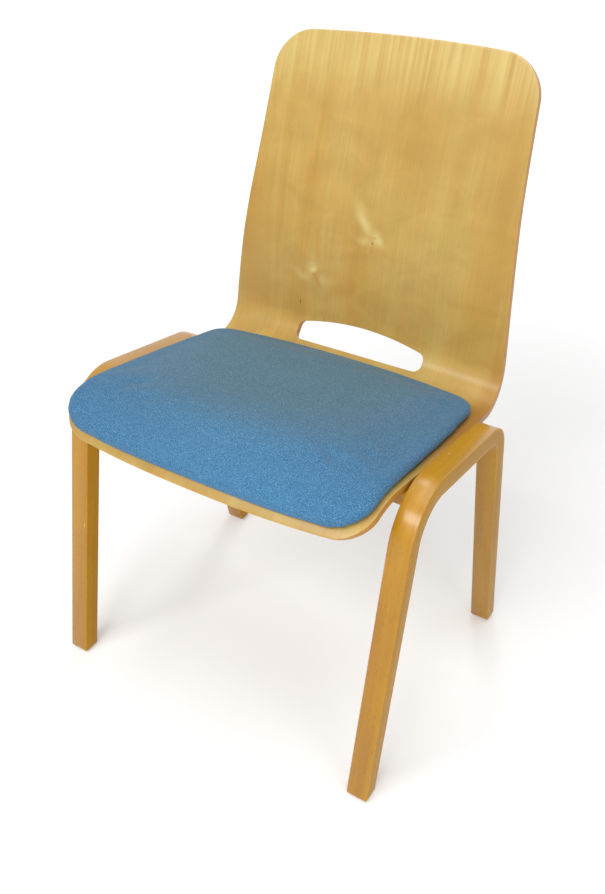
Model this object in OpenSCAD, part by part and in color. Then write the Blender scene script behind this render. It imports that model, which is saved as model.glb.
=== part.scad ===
// Conference chair: a moulded plywood seat and back between two bent laminate side frames,
// with two cross rails under the seat and a thin upholstered seat pad.
// Millimetres, +Z up, the sitter faces -Y, origin on the floor under the middle of the chair.

/* [Side frames] */
// Gap between the seat's side and a side frame
side_gap = 2; // [1.5:0.5:5]
// Width of a side frame, across the chair
frame_w = 30; // [26:1:36]
// Thickness of the bent laminate
frame_t = 25; // [22:1:30]
// Height of the point where the front leg's line meets the rail's line
rail_front_h = 450; // [420:1:490]
// Distance of that point in front of the frame's datum
rail_front_y = 135; // [115:1:155]
// Level distance between the front and rear corners of the rail
rail_run = 267; // [250:1:290]
// Fall of the rail from its front corner to its rear corner
rail_fall = 26; // [14:1:34]
// Forward reach of the front foot from the front corner
front_reach = 67; // [50:1:85]
// Backward reach of the rear foot from the rear corner
rear_reach = 110; // [90:1:130]
// Outer radius of the front bend
front_bend_r = 76; // [64:1:86]
// Outer radius of the rear bend
rear_bend_r = 57; // [48:1:64]
// Radius of the foot's corners
foot_r = 5; // [3:0.5:7]

/* [Seat and back shell] */
// Thickness of the moulded plywood
ply_t = 10.5; // [9:0.5:12]
// Depth of the seat's top face below the rail's top
seat_sink = 2.5; // [1.5:0.5:4]
// Distance from the rail's front corner back to the flat part of the seat
seat_set = 17; // [10:1:26]
// Distance from the rail's rear corner back to the end of the flat part
seat_over = 23; // [16:1:30]
// Radius of the rolled front edge
roll_r = 100; // [85:1:115]
// Angle of the rolled front edge below level
roll_angle = 55; // [45:1:60]
// Radius of the bend between the seat and the back, on the sitter's side
bend_r = 45; // [38:1:52]
// Backward lean of the lower back
lower_lean = 3; // [1:0.5:6]
// Length of the straight lower back
lower_back_run = 50; // [40:1:65]
// Radius of the curve between the lower and the upper back
back_r = 855; // [700:5:1100]
// Backward lean of the upper back
upper_lean = 14; // [10:0.5:17]
// Length of the straight upper back
upper_back_run = 190; // [170:1:215]
// Width of the seat at its widest
seat_w = 462; // [430:1:500]
// How far the seat draws in at its front edge, on each side
front_draw = 4; // [2:0.5:14]
// How far the shell draws in at its bend, on each side
bend_draw = 4; // [1:0.5:10]
// How far the shell draws in low on the back, on each side
low_back_draw = 12; // [6:0.5:18]
// How far the shell draws in at the middle of the back, on each side
mid_back_draw = 26; // [18:0.5:34]
// How far the shell draws in at the top of the back, on each side
top_back_draw = 36.5; // [28:0.5:46]
// Forward bow of the seat's front edge
front_bow = 13; // [8:1:20]
// Upward bow of the back's top edge
top_bow = 8; // [2:1:14]
// Radius of the seat's front corners
front_corner_r = 43; // [30:1:60]
// Radius of the back's top corners
top_corner_r = 52; // [40:1:65]
// Rise of the seat's middle above its side edges
seat_crown = 3.5; // [1:0.5:5]
// Hollow of the back between its side edges
back_hollow = 3; // [1:0.5:8]

/* [Hand slot] */
// Distance of the slot's ends from the shell's sides
slot_side = 120; // [110:1:150]
// Height of the slot at its middle
slot_h = 40; // [37:1:42]
// Drop of the slot's upper edge towards its ends
slot_drop = 11; // [8:1:13]
// Radius of the slot's corners
slot_r = 11; // [6:1:11]
// Distance of the slot's middle below the end of the bend, along the shell
slot_set = 20; // [16:1:24]

/* [Seat pad] */
// Thickness of the pad at its edge
pad_edge_t = 16; // [14:0.5:20]
// Rise of the pad's middle above its edge
pad_crown = 5; // [2:0.5:8]
// How far the pad's front lies inside the seat's widest width, on each side
pad_front_draw = 6; // [5:0.5:12]
// How far the pad's rear lies inside the seat's widest width, on each side
pad_rear_draw = 16; // [12:0.5:22]
// Distance from the shell's front edge back to the pad, along the shell
pad_set = 12; // [8:0.5:18]
// Distance of the pad's rear edge past the end of the seat's flat part
pad_over = 6; // [0:1:6]
// Forward bow of the pad's front edge
pad_front_bow = 12; // [6:1:18]
// Backward bow of the pad's rear edge
pad_rear_bow = 16; // [8:1:24]
// Radius of the pad's front corners
pad_front_corner_r = 49; // [35:1:60]
// Radius of the pad's rear corners
pad_rear_corner_r = 28; // [20:1:40]
// Thickness of the pad's fabric cover
cover_t = 1.2; // [0.8:0.1:2]
// Thickness of the pad's plywood board
board_t = 5; // [4:0.5:6]
// Distance of the board's edge inside the pad's edge
board_inset = 10; // [9:1:16]

/* [Cross rails] */
// Width of a cross rail, from front to back
cross_w = 28; // [24:1:28]
// Thickness of a cross rail
cross_t = 17; // [16:1:22]
// Distance of the front cross rail's middle behind the rail's front corner
front_cross_in = 45; // [42:1:47]
// Distance of the rear cross rail's middle in front of the rail's rear corner
rear_cross_in = 14; // [12:1:15]
// Room between the seat's edge and the top of a cross rail
cross_gap = 0.5; // [0.4:0.1:1]
// Diameter of a dowel
dowel_d = 6; // [5:0.5:6]
// Distance between the two dowels of a joint
dowel_pitch = 14; // [12:1:15]
// Distance of a dowel's middle below the top of the cross rail
dowel_drop = 6.5; // [5:0.5:7]
// Depth of a dowel in the side frame
dowel_frame_depth = 18; // [14:1:22]
// Depth of a dowel in the cross rail
dowel_rail_depth = 22; // [18:1:28]

/* [Fasteners] */
// Distance of a shell bolt from the seat's side
shell_bolt_side = 81; // [65:1:95]
// Diameter of a shell bolt
shell_bolt_d = 6; // [5:1:6]
// Diameter of a shell bolt's head
shell_head_d = 12; // [10:1:13]
// Height of a shell bolt's head
shell_head_h = 4; // [3:0.5:5]
// Diameter of the washer under a shell bolt's head
washer_d = 18; // [16:1:20]
// Thickness of that washer
washer_t = 1.5; // [1:0.5:2]
// Diameter of a rubber spacer between the shell and a cross rail
spacer_d = 20; // [16:1:24]
// Diameter of a shell nut's flange
shell_flange_d = 18; // [15:1:20]
// Thickness of a nut's flange
flange_t = 1.2; // [1:0.1:1.5]
// Diameter of a shell nut's barrel
shell_barrel_d = 8; // [7.5:0.5:9]
// Distance of a pad screw from the seat's side
pad_screw_side = 121; // [100:1:140]
// Distance of the front pad screws behind the rail's front corner
pad_screw_front = 95; // [85:1:110]
// Distance of the rear pad screws in front of the rail's rear corner
pad_screw_rear = 73; // [65:1:85]
// Diameter of a pad screw
pad_screw_d = 5; // [4:1:5]
// Diameter of a pad screw's head
pad_head_d = 10; // [8:1:11]
// Height of a pad screw's head
pad_head_h = 3; // [2.5:0.5:4]
// Diameter of a pad nut's flange
pad_flange_d = 14; // [12:1:16]
// Diameter of a pad nut's barrel
pad_barrel_d = 6.5; // [6.5:0.5:7.5]

/* [Glides] */
// Diameter of a glide
glide_d = 18; // [14:1:20]
// Thickness of a glide
glide_t = 1.5; // [1:0.5:4]
// Diameter of a glide's pin
pin_d = 2.5; // [2:0.5:3]
// Length of a glide's pin in the leg
pin_depth = 16; // [12:1:20]

/* [Hidden] */

$fn = 48;
// Clearance between pieces that fit together
fit = 0.1;
// Clearance between pieces that rest on each other
rest_gap = 0.3;
// Distance that a cutter runs past the face it cuts
overrun = 5;
// Points along a foot's rounded corner
foot_steps = 4;
// Points along a bend of the side frame
frame_bend_steps = 24;

// Side frame, in the plane of one side: outer corners, joined by the two bends
slope = atan(rail_fall / rail_run);
front_corner = [-rail_front_y, rail_front_h];
rear_corner = front_corner + [rail_run, -rail_fall];
front_foot = [front_corner[0] - front_reach, 0];
rear_foot = [rear_corner[0] + rear_reach, 0];
rail_length = norm(rear_corner - front_corner);
inner_w = seat_w + 2 * side_gap;
overall_w = inner_w + 2 * frame_w;

// Unit vector from p to q
function toward(p, q) = (q - p) / norm(q - p);
// Point on the line from p to q at height z
function at_height(p, q, z) = p + (q - p) * (z - p[1]) / (q[1] - p[1]);
// Angle between the two lines that meet at corner b
function corner_angle(a, b, c) = acos(toward(b, a) * toward(b, c));
// Centre of a circle of radius r that touches both lines at corner b
function bend_centre(a, b, c, r) =
    b + r / sin(corner_angle(a, b, c) / 2) * toward([0, 0], toward(b, a) + toward(b, c));
// Point where that circle touches the line from b to a
function touch(a, b, c, r) = b + toward(b, a) * r / tan(corner_angle(a, b, c) / 2);

front_bend_c = bend_centre(front_foot, front_corner, rear_corner, front_bend_r);
rear_bend_c = bend_centre(front_corner, rear_corner, rear_foot, rear_bend_r);
front_leg_top = touch(front_foot, front_corner, rear_corner, front_bend_r);
rail_front = touch(rear_corner, front_corner, front_foot, front_bend_r);
rail_rear = touch(front_corner, rear_corner, rear_foot, rear_bend_r);
rear_leg_top = touch(rear_foot, rear_corner, front_corner, rear_bend_r);

// Shell: the top face in the middle plane is a chain of runs [length, first heading, last heading]
function arc_length(r, turn) = r * turn * PI / 180;
seat_run = rail_length + seat_over - seat_set;
shell_runs = [
    [arc_length(roll_r, roll_angle + slope), roll_angle, -slope],
    [seat_run, -slope, -slope],
    [arc_length(bend_r, 90 - lower_lean + slope), -slope, 90 - lower_lean],
    [lower_back_run, 90 - lower_lean, 90 - lower_lean],
    [arc_length(back_r, upper_lean - lower_lean), 90 - lower_lean, 90 - upper_lean],
    [upper_back_run, 90 - upper_lean, 90 - upper_lean]
];
function heading(run, l) = run[1] + (run[2] - run[1]) * l / run[0];
// Way travelled over the first l of a run
function travel(run, l) = run[1] == run[2]
    ? l * [cos(run[1]), sin(run[1])]
    : run[0] * 180 / PI / (run[2] - run[1])
        * [sin(heading(run, l)) - sin(run[1]), cos(run[1]) - cos(heading(run, l))];
// The flat of the seat starts here, and the roll ends here
seat_start = front_corner + seat_set * [cos(slope), -sin(slope)] - seat_sink * [sin(slope), cos(slope)];
function run_start(i) = i == 0 ? seat_start - travel(shell_runs[0], shell_runs[0][0])
    : run_start(i - 1) + travel(shell_runs[i - 1], shell_runs[i - 1][0]);
run_starts = [for (i = [0 : len(shell_runs) - 1]) run_start(i)];
function total(i) = i < 0 ? 0 : shell_runs[i][0] + total(i - 1);
run_ends = [for (i = [0 : len(shell_runs) - 1]) total(i)];
last_run = len(shell_runs) - 1;
shell_length = run_ends[last_run];
function run_at(s, i = 0) = i == last_run || s < run_ends[i] ? i : run_at(s, i + 1);
function local(s, i) = s - run_ends[i] + shell_runs[i][0];
function profile_point(s, i) = run_starts[i] + travel(shell_runs[i], local(s, i));
function profile_heading(s, i) = heading(shell_runs[i], local(s, i));

// Smooth curve through (stations, values) with no overshoot
function rise(xs, ys, i) = (ys[i + 1] - ys[i]) / (xs[i + 1] - xs[i]);
function knot_slope(xs, ys, i) =
    i == 0 ? rise(xs, ys, 0)
    : i == len(xs) - 1 ? rise(xs, ys, i - 1)
    : rise(xs, ys, i - 1) * rise(xs, ys, i) <= 0 ? 0
    : 2 * rise(xs, ys, i - 1) * rise(xs, ys, i) / (rise(xs, ys, i - 1) + rise(xs, ys, i));
function span_of(xs, x, i = 0) = i >= len(xs) - 2 || x < xs[i + 1] ? i : span_of(xs, x, i + 1);
function hermite(t, w, a, b, ma, mb) =
    (1 + 2 * t) * (1 - t) ^ 2 * a + t * (1 - t) ^ 2 * w * ma
    + t ^ 2 * (3 - 2 * t) * b - t ^ 2 * (1 - t) * w * mb;
function smooth(xs, ys, x, i) = hermite(
    (x - xs[i]) / (xs[i + 1] - xs[i]), xs[i + 1] - xs[i],
    ys[i], ys[i + 1], knot_slope(xs, ys, i), knot_slope(xs, ys, i + 1));

// Places along the shell where its widths and its lateral form are set
low_back_share = 0.22;
mid_back_share = 0.6;
hollow_share = 0.4;
bend_start = run_ends[1];
bend_end = run_ends[2];
back_length = shell_length - bend_end;
width_stations = [
    0, (run_ends[0] + bend_start) / 2, (bend_start + bend_end) / 2,
    bend_end + low_back_share * back_length, bend_end + mid_back_share * back_length, shell_length
];
seat_half = seat_w / 2;
half_widths = [for (draw = [front_draw, 0, bend_draw, low_back_draw, mid_back_draw, top_back_draw])
    seat_half - draw];
form_stations = [
    0, run_ends[0], bend_start, bend_end, bend_end + hollow_share * back_length, shell_length
];
// Height of the side edges above the middle: the seat is crowned, the back hollow
edge_rises = [-seat_crown, -seat_crown, -seat_crown, back_hollow, back_hollow, back_hollow];
function half_width(s) = smooth(width_stations, half_widths, s, span_of(width_stations, s));
function edge_rise(s) = smooth(form_stations, edge_rises, s, span_of(form_stations, s));

// Point over the shell: x across, s along the top face, h above it
function over_shell(x, s, h) =
    let (i = run_at(s), p = profile_point(s, i), a = profile_heading(s, i),
         k = h + edge_rise(s) * (x / half_width(s)) ^ 2)
    [x, p[0] - sin(a) * k, p[1] + cos(a) * k];

// Sheets over the shell: an outline is [first s, last s, front bow, rear bow, front corner, rear corner]
bow_power = 2.6;
top_bow_power = 2;
shell_outline = [0, shell_length, front_bow, top_bow, front_corner_r, top_corner_r];
function corner_cut(d, r) = d >= r ? 0 : r - sqrt(max(r ^ 2 - (r - d) ^ 2, 0));
// Half width of a row at s, with the corners rounded off
function row_half(o, half, s) = half - max(corner_cut(s - o[0], o[4]), corner_cut(o[1] - s, o[5]));
// Place along the shell of the point at x in the row at s
function row_s(o, half, s, x) =
    let (t = (s - o[0]) / (o[1] - o[0]), k = min(abs(x) / half, 1))
    s + o[2] * k ^ bow_power * (1 - t) - o[3] * k ^ top_bow_power * t;

// A list backwards
function reversed(list) = [for (i = [len(list) - 1 : -1 : 0]) list[i]];
// Steps of a row list: even steps between two places, and the steps round a corner
function even(a, b, n) = [for (i = [0 : n - 1]) a + (b - a) * i / n];
function corner_rows(r, n) = [for (i = [0 : n - 1]) r * (1 - cos(90 * i / n))];
corner_steps = 6;

// Closed solid between two grids of points that share one layout
module double_sheet(top, bottom) {
    rows = len(top);
    cols = len(top[0]);
    n = rows * cols;
    function id(r, c) = r * cols + c;
    points = concat([for (row = top) for (p = row) p], [for (row = bottom) for (p = row) p]);
    sheet_faces = [
        for (r = [0 : rows - 2]) for (c = [0 : cols - 2])
        each [
            [id(r, c), id(r + 1, c), id(r + 1, c + 1)],
            [id(r, c), id(r + 1, c + 1), id(r, c + 1)],
            [n + id(r, c), n + id(r + 1, c + 1), n + id(r + 1, c)],
            [n + id(r, c), n + id(r, c + 1), n + id(r + 1, c + 1)]
        ]
    ];
    rim = concat(
        [for (c = [0 : cols - 1]) id(0, c)],
        [for (r = [1 : rows - 1]) id(r, cols - 1)],
        [for (c = [cols - 2 : -1 : 0]) id(rows - 1, c)],
        [for (r = [rows - 2 : -1 : 1]) id(r, 0)]
    );
    rim_faces = [
        for (i = [0 : len(rim) - 1])
        let (a = rim[i], b = rim[(i + 1) % len(rim)])
        each [[a, b, n + b], [a, n + b, n + a]]
    ];
    polyhedron(points = points, faces = concat(sheet_faces, rim_faces));
}

// Rows and columns of the shell's own grid
roll_steps = 8;
flat_steps = 9;
bend_steps = 13;
low_steps = 3;
back_steps = 8;
up_steps = 7;
shell_columns = 12;
shell_rows = concat(
    corner_rows(front_corner_r, corner_steps),
    even(front_corner_r, run_ends[0], roll_steps),
    even(run_ends[0], run_ends[1], flat_steps),
    even(run_ends[1], run_ends[2], bend_steps),
    even(run_ends[2], run_ends[3], low_steps),
    even(run_ends[3], run_ends[4], back_steps),
    even(run_ends[4], shell_length - top_corner_r, up_steps),
    [for (i = [corner_steps : -1 : 0]) shell_length - top_corner_r * (1 - cos(90 * i / corner_steps))]
);
function shell_grid(h) = [
    for (s = shell_rows)
    let (half = half_width(s), w = row_half(shell_outline, half, s))
    [for (c = [0 : shell_columns])
        let (x = w * (2 * c / shell_columns - 1))
        over_shell(x, row_s(shell_outline, half, s, x), h)]
];
shell_top = shell_grid(0);
shell_bottom = shell_grid(-ply_t);
shell_ys = [for (row = concat(shell_top, shell_bottom)) for (p = row) p[1]];

// The origin lies under the middle of the chair's whole depth
mid_y = (min(min(shell_ys), front_foot[0]) + max(max(shell_ys), rear_foot[0])) / 2;
module placed() {
    translate([0, -mid_y, 0]) children();
}

// Moves its children to a place on the rail's top plane: x across, l behind the front corner, h above it
module on_rail(x, l, h) {
    translate([x, front_corner[0], front_corner[1]])
        rotate([-slope, 0, 0])
            translate([0, l, h])
                children();
}

// Depth of the shell's top face below the rail's top plane, on the flat of the seat
function seat_depth(x) = seat_sink + seat_crown * (x / seat_half) ^ 2;
shell_bolt_x = seat_half - shell_bolt_side;
shell_bolt_top = -seat_depth(shell_bolt_x);
shell_bolt_under = shell_bolt_top - ply_t;
cross_top = -(seat_sink + seat_crown + ply_t + cross_gap);
dowel_height = cross_top - dowel_drop;
cross_under = cross_top - cross_t;
front_cross_l = front_cross_in;
rear_cross_l = rail_length - rear_cross_in;
cross_places = [front_cross_l, rear_cross_l];
sides = [-1, 1];

// Slot: cut square to the line between its lower and upper edges, in the bend
slot_mid = profile_point(bend_end - slot_set, 2);
slot_lean = profile_heading(bend_end - slot_set, 2);
slot_steps = 8;
slot_half = seat_half - bend_draw - slot_side;
slot_arch_half = slot_half - slot_r;
// Radius and centre of the arched upper edge
slot_arch_r = (slot_arch_half ^ 2 + slot_drop ^ 2) / (2 * slot_drop);

// Pad: heights over the shell, and its grid
pad_r = pad_edge_t / 2;
pad_first = pad_set;
pad_last = bend_start + pad_over;
pad_run = pad_last - pad_first;
pad_outline = [pad_first, pad_last, pad_front_bow, pad_rear_bow, pad_front_corner_r, pad_rear_corner_r];
// Half height of the pad's edge line
seam_half = 0.25;
pad_flat_steps = 4;
pad_roll_steps = 4;
nose_shares = [0, 0.12, 0.45, 1];
inner_shares = [0.55];
edge_power = 3;
function pad_half(s) =
    let (t = (s - pad_first) / pad_run)
    seat_half - pad_front_draw - (pad_rear_draw - pad_front_draw) * t ^ edge_power;
// Share of its full height that the edge's round has at distance d from the outline
function nose(d, r) = sqrt(max(1 - (1 - min(max(d / r, 0), 1)) ^ 2, 0));
// Outline moved inwards by e
function inset_outline(e) = [
    pad_first + e, pad_last - e, pad_front_bow, pad_rear_bow,
    max(pad_front_corner_r - e, e), max(pad_rear_corner_r - e, e)
];
// Distances from the outline of the rows and columns at an edge; the last is the step over the board
function edge_places(e, r) = concat([for (k = nose_shares) k * r], [board_inset - rest_gap - e]);
edge_count = len(nose_shares) + 1;
function pad_rows(e, r) = concat(
    [for (d = edge_places(e, r)) pad_first + e + d],
    [for (i = [1 : corner_steps - 2])
        pad_first + board_inset + (pad_front_corner_r - board_inset) * i / (corner_steps - 1)],
    even(pad_first + pad_front_corner_r, run_ends[0], pad_roll_steps),
    even(run_ends[0], pad_last - pad_rear_corner_r, pad_flat_steps),
    [pad_last - pad_rear_corner_r, pad_last - (pad_rear_corner_r + board_inset) / 2],
    [for (d = reversed(edge_places(e, r))) pad_last - e - d]
);
function pad_columns(w, e, r) = concat(
    [for (d = edge_places(e, r)) d - w],
    [for (k = inner_shares) -(w - board_inset) * k],
    [0],
    [for (k = reversed(inner_shares)) (w - board_inset) * k],
    [for (d = reversed(edge_places(e, r))) w - d]
);
// True for the rows or columns inside the step over the board
function over_board(i, n) = i >= edge_count - 1 && i <= n - edge_count;
// Grid of the pad's form moved inwards by e: side is 1 for the top and -1 for the underside,
// and base is the height of the underside over the board
function pad_grid(e, side, base = 0) =
    let (o = inset_outline(e), r = pad_r - e, rows = pad_rows(e, r))
    [for (i = [0 : len(rows) - 1])
        let (s = rows[i], half = pad_half(s), w = row_half(o, half - e, s), xs = pad_columns(w, e, r))
        [for (c = [0 : len(xs) - 1])
            let (x = xs[c],
                 k = min(nose(w - abs(x), r), nose(s - o[0], r), nose(o[1] - s, r)),
                 dome = (1 - (x / half) ^ 2) * (1 - (2 * (s - pad_first) / pad_run - 1) ^ 2),
                 lift = side > 0 ? pad_crown * dome : 0,
                 h = rest_gap + pad_r + side * (seam_half + (r - seam_half) * k) + lift * k,
                 raised = base > 0 && over_board(i, len(rows)) && over_board(c, len(xs)))
            over_shell(x, row_s(pad_outline, half, s, x), raised ? base : h)]];
// Height over the shell of the board's underside and top
board_low = rest_gap + cover_t + rest_gap;
board_high = board_low + board_t;
function board_grid(h) =
    let (o = inset_outline(board_inset))
    [for (s = board_rows)
        let (half = pad_half(s), w = row_half(o, half - board_inset, s))
        [for (c = [0 : 2 : shell_columns])
            let (x = w * (2 * c / shell_columns - 1))
            over_shell(x, row_s(pad_outline, half, s, x), h)]];
board_rows = concat(
    [for (i = [0 : corner_steps - 2])
        pad_first + board_inset + (pad_front_corner_r - board_inset) * i / (corner_steps - 1)],
    even(pad_first + pad_front_corner_r, run_ends[0], pad_roll_steps),
    even(run_ends[0], pad_last - pad_rear_corner_r, pad_flat_steps),
    [for (i = [0 : corner_steps - 3])
        pad_last - pad_rear_corner_r + (pad_rear_corner_r - board_inset) * i / (corner_steps - 3)]
);

pad_screw_x = seat_half - pad_screw_side;
pad_screw_lines = [pad_screw_front, rail_length - pad_screw_rear];
pad_screw_places = [for (x = sides) for (l = pad_screw_lines) [x * pad_screw_x, l]];
shell_bolt_places = [for (x = sides) for (l = cross_places) [x * shell_bolt_x, l]];
pad_screw_top = -seat_depth(pad_screw_x);
pad_nut_top = pad_screw_top + board_high - rest_gap;

module across(w, x) {
    translate([x, 0, 0]) rotate([90, 0, 90]) linear_extrude(w) children();
}

// Points of a corner at b between a and c, rounded with radius r in n steps
function rounded(a, b, c, r, n) =
    let (m = bend_centre(a, b, c, r), p = touch(a, b, c, r), q = touch(c, b, a, r),
         start = atan2(p[1] - m[1], p[0] - m[0]), stop = atan2(q[1] - m[1], q[0] - m[0]),
         turn = (stop - start + 540) % 360 - 180)
    [for (i = [0 : n]) m + r * [cos(start + turn * i / n), sin(start + turn * i / n)]];

// Rounded end of a leg, level over the glide
function leg_end(foot, top, centre) =
    let (inward = toward(top, centre) * frame_t,
         outer = at_height(foot, top, glide_t),
         inner = at_height(foot + inward, top + inward, glide_t))
    concat(rounded(top, outer, inner, foot_r, foot_steps),
        rounded(outer, inner, top + inward, foot_r, foot_steps));
// Inner face of a bend, from its outer points
function inner_bend(points, centre, r) = [for (p = points) centre + (p - centre) * (r - frame_t) / r];

module frame_outline() {
    front_bend = rounded(front_foot, front_corner, rear_corner, front_bend_r, frame_bend_steps);
    rear_bend = rounded(front_corner, rear_corner, rear_foot, rear_bend_r, frame_bend_steps);
    polygon(concat(
        reversed(leg_end(front_foot, front_leg_top, front_bend_c)),
        front_bend,
        rear_bend,
        leg_end(rear_foot, rear_leg_top, rear_bend_c),
        reversed(inner_bend(rear_bend, rear_bend_c, rear_bend_r)),
        reversed(inner_bend(front_bend, front_bend_c, front_bend_r))
    ));
}

// Places of the dowels across a joint, on the rail's top plane
dowel_lines = [for (l = cross_places) for (k = sides) l + k * dowel_pitch / 2];
module dowel_holes(side) {
    for (l = dowel_lines)
        on_rail(side * inner_w / 2, l, dowel_height)
            rotate([0, side * 90, 0])
                translate([0, 0, -dowel_rail_depth - rest_gap])
                    cylinder(h = dowel_rail_depth + dowel_frame_depth + 2 * rest_gap, d = dowel_d + fit);
}

// Places of the feet: middle of each foot at the floor
function foot_mid(foot, top, centre) =
    (at_height(foot, top, 0) + at_height(foot + toward(top, centre) * frame_t,
        top + toward(top, centre) * frame_t, 0)) / 2;
front_foot_mid = foot_mid(front_foot, front_leg_top, front_bend_c);
rear_foot_mid = foot_mid(rear_foot, rear_leg_top, rear_bend_c);
foot_places = [for (x = sides) for (m = [front_foot_mid, rear_foot_mid])
    [x * (overall_w - frame_w) / 2, m[0], 0]];

module pin_holes() {
    for (p = foot_places)
        translate(p) translate([0, 0, glide_t / 2])
            cylinder(h = glide_t / 2 + pin_depth + rest_gap, d = pin_d + fit);
}

module side_frame(side) {
    color("burlywood") placed() difference() {
        across(frame_w, side > 0 ? inner_w / 2 : -overall_w / 2) frame_outline();
        dowel_holes(side);
        pin_holes();
    }
}

module left_side_frame() {
    side_frame(1);
}

module right_side_frame() {
    side_frame(-1);
}

// Outline of the hand slot: level lower edge, arched upper edge, round corners that run into the arch
slot_arch_c = [0, slot_h - slot_arch_r];
slot_corner_rise = sqrt((slot_arch_r - slot_r) ^ 2 - slot_arch_half ^ 2);
slot_corner_y = slot_arch_c[1] + slot_corner_rise;
slot_corner_end = atan2(slot_corner_rise, slot_arch_half);
module slot_outline() {
    function arc(c, r, a, b, n) = [for (i = [0 : n]) let (t = a + (b - a) * i / n) c + r * [cos(t), sin(t)]];
    polygon(concat(
        arc([-slot_arch_half, slot_r], slot_r, 180, 270, slot_steps),
        arc([slot_arch_half, slot_r], slot_r, 270, 360, slot_steps),
        arc([slot_arch_half, slot_corner_y], slot_r, 0, slot_corner_end, slot_steps),
        [for (p = arc(slot_arch_c, slot_arch_r, slot_corner_end, 180 - slot_corner_end, 2 * slot_steps))
            if (abs(p[0]) < slot_arch_half) p],
        arc([-slot_arch_half, slot_corner_y], slot_r, 180 - slot_corner_end, 180, slot_steps)
    ));
}

module slot_cutter() {
    translate([0, slot_mid[0], slot_mid[1]])
        rotate([slot_lean, 0, 0])
            translate([0, -slot_h / 2, -bend_r])
                linear_extrude(2 * bend_r) slot_outline();
}

module seat_back_shell() {
    color("goldenrod") placed() difference() {
        double_sheet(shell_top, shell_bottom);
        slot_cutter();
        for (p = shell_bolt_places) {
            on_rail(p[0], p[1], shell_bolt_under - overrun)
                cylinder(h = ply_t + 2 * overrun, d = shell_barrel_d + fit);
            on_rail(p[0], p[1], shell_bolt_top - flange_t - rest_gap)
                cylinder(h = overrun, d = shell_flange_d + 2 * rest_gap);
        }
        for (p = pad_screw_places)
            on_rail(p[0], p[1], pad_screw_top - ply_t - overrun)
                cylinder(h = ply_t + 2 * overrun, d = pad_screw_d + 2 * rest_gap);
    }
}

module cross_rail(l) {
    color("tan") placed() difference() {
        on_rail(-inner_w / 2, l - cross_w / 2, cross_under)
            cube([inner_w, cross_w, cross_t]);
        for (side = sides) {
            dowel_holes(side);
            on_rail(side * shell_bolt_x, l, cross_under - overrun)
                cylinder(h = cross_t + 2 * overrun, d = shell_bolt_d + 2 * rest_gap);
        }
    }
}

module front_cross_rail() {
    cross_rail(front_cross_l);
}

module rear_cross_rail() {
    cross_rail(rear_cross_l);
}

module dowels(l) {
    color("wheat") placed()
        for (side = sides) for (k = sides)
            on_rail(side * inner_w / 2, l + k * dowel_pitch / 2, dowel_height)
                rotate([0, side * 90, 0])
                    translate([0, 0, -dowel_rail_depth])
                        cylinder(h = dowel_rail_depth + dowel_frame_depth, d = dowel_d);
}

module front_rail_dowels() {
    dowels(front_cross_l);
}

module rear_rail_dowels() {
    dowels(rear_cross_l);
}

module shell_spacers() {
    color("dimgray") placed()
        for (p = shell_bolt_places)
            on_rail(p[0], p[1], cross_top)
                difference() {
                    cylinder(h = shell_bolt_under - cross_top - rest_gap, d = spacer_d);
                    translate([0, 0, -overrun])
                        cylinder(h = 2 * overrun + spacer_d, d = shell_bolt_d + 2 * rest_gap);
                }
}

// Round-headed screw that points up, with a hexagon socket, its shank starting at height zero
module socket_screw(shank_d, shank_l, head_d, head_h) {
    socket_d = shank_d * socket_share;
    difference() {
        union() {
            cylinder(h = shank_l, d = shank_d);
            translate([0, 0, -head_h]) cylinder(h = head_h, d = head_d);
        }
        translate([0, 0, -head_h - overrun])
            cylinder(h = overrun + head_h / 2, d = socket_d, $fn = 6);
    }
}
// Size of a screw's socket, as a share of its shank
socket_share = 0.75;

module shell_bolts() {
    under = cross_under - washer_t;
    color("silver") placed()
        for (p = shell_bolt_places)
            on_rail(p[0], p[1], under)
                socket_screw(shell_bolt_d, shell_bolt_top - flange_t - rest_gap - under,
                    shell_head_d, shell_head_h);
}

module shell_washers() {
    color("silver") placed()
        for (p = shell_bolt_places)
            on_rail(p[0], p[1], cross_under - washer_t)
                difference() {
                    cylinder(h = washer_t, d = washer_d);
                    translate([0, 0, -overrun])
                        cylinder(h = washer_t + 2 * overrun, d = shell_bolt_d + rest_gap);
                }
}

// Flanged nut whose flange top lies at height zero, bored for the screw
module flanged_nut(flange_d, barrel_d, depth, bore_d) {
    difference() {
        union() {
            translate([0, 0, -flange_t]) cylinder(h = flange_t, d = flange_d);
            translate([0, 0, -depth]) cylinder(h = depth, d = barrel_d);
        }
        translate([0, 0, -depth - overrun])
            cylinder(h = depth + 2 * overrun, d = bore_d);
    }
}

module shell_nuts() {
    color("silver") placed()
        for (p = shell_bolt_places)
            on_rail(p[0], p[1], shell_bolt_top - rest_gap)
                flanged_nut(shell_flange_d, shell_barrel_d, ply_t - 2 * rest_gap, shell_bolt_d + fit);
}

module pad_board() {
    color("peru") placed() difference() {
        double_sheet(board_grid(board_high), board_grid(board_low));
        for (p = pad_screw_places) {
            on_rail(p[0], p[1], pad_screw_top)
                cylinder(h = board_high + overrun, d = pad_barrel_d + fit);
            on_rail(p[0], p[1], pad_nut_top - flange_t - rest_gap / 2)
                cylinder(h = overrun, d = pad_flange_d + 2 * rest_gap);
        }
    }
}

module pad_foam() {
    e = cover_t + rest_gap;
    color("lightyellow") placed()
        double_sheet(pad_grid(e, 1), pad_grid(e, -1, board_high + rest_gap));
}

module pad_cover() {
    color("steelblue") placed() difference() {
        double_sheet(pad_grid(0, 1), pad_grid(0, -1));
        double_sheet(pad_grid(cover_t, 1), pad_grid(cover_t, -1));
        for (p = pad_screw_places)
            on_rail(p[0], p[1], pad_screw_top - overrun)
                cylinder(h = overrun + board_low, d = pad_screw_d + 2 * rest_gap);
    }
}

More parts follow.
